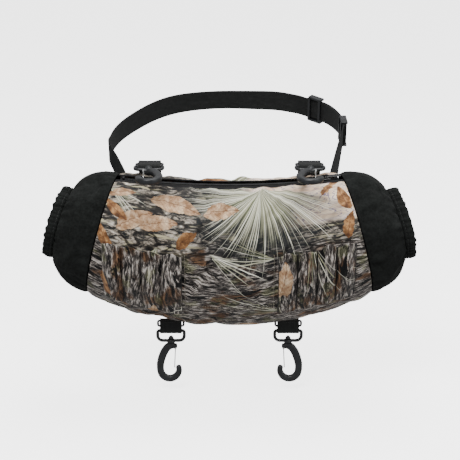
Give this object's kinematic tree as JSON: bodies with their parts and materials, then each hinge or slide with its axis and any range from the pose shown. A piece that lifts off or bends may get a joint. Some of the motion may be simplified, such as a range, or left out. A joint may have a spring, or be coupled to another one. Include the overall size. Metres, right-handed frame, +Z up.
{
  "type": "hand warmer muff",
  "caption": "Padded hand warmer tube with printed shell, fleece ends, zip pocket, shell loops, waist belt and swivel snap hooks.",
  "frame": {"origin": "middle of the flat back that rests on the wearer's front, where the waist belt holds the muff", "axes": "+X along the tube to the right as seen from the front, +Y towards the wearer, +Z up"},
  "size_m": [0.4198, 0.27, 0.3099],
  "materials": {
    "print": "woven, printed with leaves, grass and bark",
    "fleece": "brushed black fleece",
    "lining": "brushed lining",
    "batting": "loose white batting",
    "webbing": "ribbed woven webbing",
    "zip": "coated tape and moulded pull",
    "plastic": "satin moulded acetal",
    "metal": "bright plated",
    "elastic": "woven elastic"
  },
  "bodies": {
    "root": {"back_shell": "print", "belt_long_strap": "webbing", "belt_short_strap": "webbing", "centre_pocket": "print", "fleece_lining": "lining", "front_shell": "print", "hem_binding": "fleece", "insulation_batting": "batting", "left_cuff": "fleece", "left_cuff_elastic": "elastic", "left_end_panel": "fleece", "left_shell_loops": "print", "left_zip_stop": "metal", "lower_left_hook_tab": "webbing", "lower_left_tab_ring": "plastic", "lower_right_hook_tab": "webbing", "lower_right_tab_ring": "plastic", "right_cuff": "fleece", "right_cuff_elastic": "elastic", "right_end_panel": "fleece", "right_shell_loops": "print", "right_zip_stop": "metal", "upper_left_hook_tab": "webbing", "upper_left_tab_ring": "plastic", "upper_right_hook_tab": "webbing", "upper_right_tab_ring": "plastic", "warmer_pocket": "lining", "zip_coil": "zip", "zip_tape_back": "zip", "zip_tape_front": "zip"},
    "zip_slider": {"zip_slider": "metal"},
    "zip_pull": {"zip_pull": "zip"},
    "rear_belt_adjuster": {"rear_belt_adjuster": "plastic"},
    "side_belt_adjuster": {"side_belt_adjuster": "plastic"},
    "lower_left_swivel_frame": {"lower_left_swivel_frame": "plastic"},
    "lower_left_snap_hook": {"lower_left_snap_hook": "plastic"},
    "lower_left_wire_gate": {"lower_left_wire_gate": "metal"},
    "lower_right_swivel_frame": {"lower_right_swivel_frame": "plastic"},
    "lower_right_snap_hook": {"lower_right_snap_hook": "plastic"},
    "lower_right_wire_gate": {"lower_right_wire_gate": "metal"},
    "upper_left_swivel_frame": {"upper_left_swivel_frame": "plastic"},
    "upper_left_snap_hook": {"upper_left_snap_hook": "plastic"},
    "upper_left_wire_gate": {"upper_left_wire_gate": "metal"},
    "upper_right_swivel_frame": {"upper_right_swivel_frame": "plastic"},
    "upper_right_snap_hook": {"upper_right_snap_hook": "plastic"},
    "upper_right_wire_gate": {"upper_right_wire_gate": "metal"}
  },
  "joints": [
    {"name": "zip_slider_travel", "type": "hinge", "parent": "root", "child": "zip_slider", "pos_m": [0, -0.05765, 1.08056], "axis": [0, 1, 0], "range_deg": [0, 10.5]},
    {"name": "zip_pull_swing", "type": "hinge", "parent": "zip_slider", "child": "zip_pull", "pos_m": [0.10643, -0.05843, 0.09161], "axis": [0.0156, -0.9893, -0.1451], "range_deg": [0, 95]},
    {"name": "rear_adjuster_travel", "type": "hinge", "parent": "root", "child": "rear_belt_adjuster", "pos_m": [0.05619, 0.05745, 0.11379], "axis": [0, -0.2334, 0.9724], "range_deg": [-15, 8]},
    {"name": "side_adjuster_travel", "type": "hinge", "parent": "root", "child": "side_belt_adjuster", "pos_m": [0.05619, 0.05745, 0.11379], "axis": [0, -0.2334, 0.9724], "range_deg": [0, 15]},
    {"name": "lower_left_hook_tilt", "type": "hinge", "parent": "root", "child": "lower_left_swivel_frame", "pos_m": [-0.0685, -0.0475, -0.0985], "axis": [1, 0, 0], "range_deg": [-95, 95]},
    {"name": "lower_left_swivel", "type": "hinge", "parent": "lower_left_swivel_frame", "child": "lower_left_snap_hook", "pos_m": [-0.0685, -0.0475, -0.111], "axis": [0, 0, 1], "continuous": true},
    {"name": "lower_left_gate", "type": "hinge", "parent": "lower_left_snap_hook", "child": "lower_left_wire_gate", "pos_m": [-0.0635, -0.0475, -0.1212], "axis": [0, 1, 0], "range_deg": [0, 25], "stiffness_Nm_per_rad": 0.01, "springref_deg": -20.05},
    {"name": "lower_right_hook_tilt", "type": "hinge", "parent": "root", "child": "lower_right_swivel_frame", "pos_m": [0.0685, -0.0475, -0.0985], "axis": [1, 0, 0], "range_deg": [-95, 95]},
    {"name": "lower_right_swivel", "type": "hinge", "parent": "lower_right_swivel_frame", "child": "lower_right_snap_hook", "pos_m": [0.0685, -0.0475, -0.111], "axis": [0, 0, 1], "continuous": true},
    {"name": "lower_right_gate", "type": "hinge", "parent": "lower_right_snap_hook", "child": "lower_right_wire_gate", "pos_m": [0.0635, -0.0475, -0.1212], "axis": [0, -1, 0], "range_deg": [0, 25], "stiffness_Nm_per_rad": 0.01, "springref_deg": -20.05},
    {"name": "upper_left_hook_tilt", "type": "hinge", "parent": "root", "child": "upper_left_swivel_frame", "pos_m": [-0.0905, -0.044, 0.099], "axis": [1, 0, 0], "range_deg": [-115, 0]},
    {"name": "upper_left_swivel", "type": "hinge", "parent": "upper_left_swivel_frame", "child": "upper_left_snap_hook", "pos_m": [-0.0905, -0.0565, 0.099], "axis": [0, 1, 0], "range_deg": [-25, 25]},
    {"name": "upper_left_gate", "type": "hinge", "parent": "upper_left_snap_hook", "child": "upper_left_wire_gate", "pos_m": [-0.0955, -0.0667, 0.099], "axis": [0, 0, 1], "range_deg": [0, 25], "stiffness_Nm_per_rad": 0.01, "springref_deg": -20.05},
    {"name": "upper_right_hook_tilt", "type": "hinge", "parent": "root", "child": "upper_right_swivel_frame", "pos_m": [0.0905, -0.044, 0.099], "axis": [1, 0, 0], "range_deg": [-115, 0]},
    {"name": "upper_right_swivel", "type": "hinge", "parent": "upper_right_swivel_frame", "child": "upper_right_snap_hook", "pos_m": [0.0905, -0.0565, 0.099], "axis": [0, 1, 0], "range_deg": [-25, 25]},
    {"name": "upper_right_gate", "type": "hinge", "parent": "upper_right_snap_hook", "child": "upper_right_wire_gate", "pos_m": [0.0955, -0.0667, 0.099], "axis": [0, 0, -1], "range_deg": [0, 25], "stiffness_Nm_per_rad": 0.01, "springref_deg": -20.05}
  ]
}
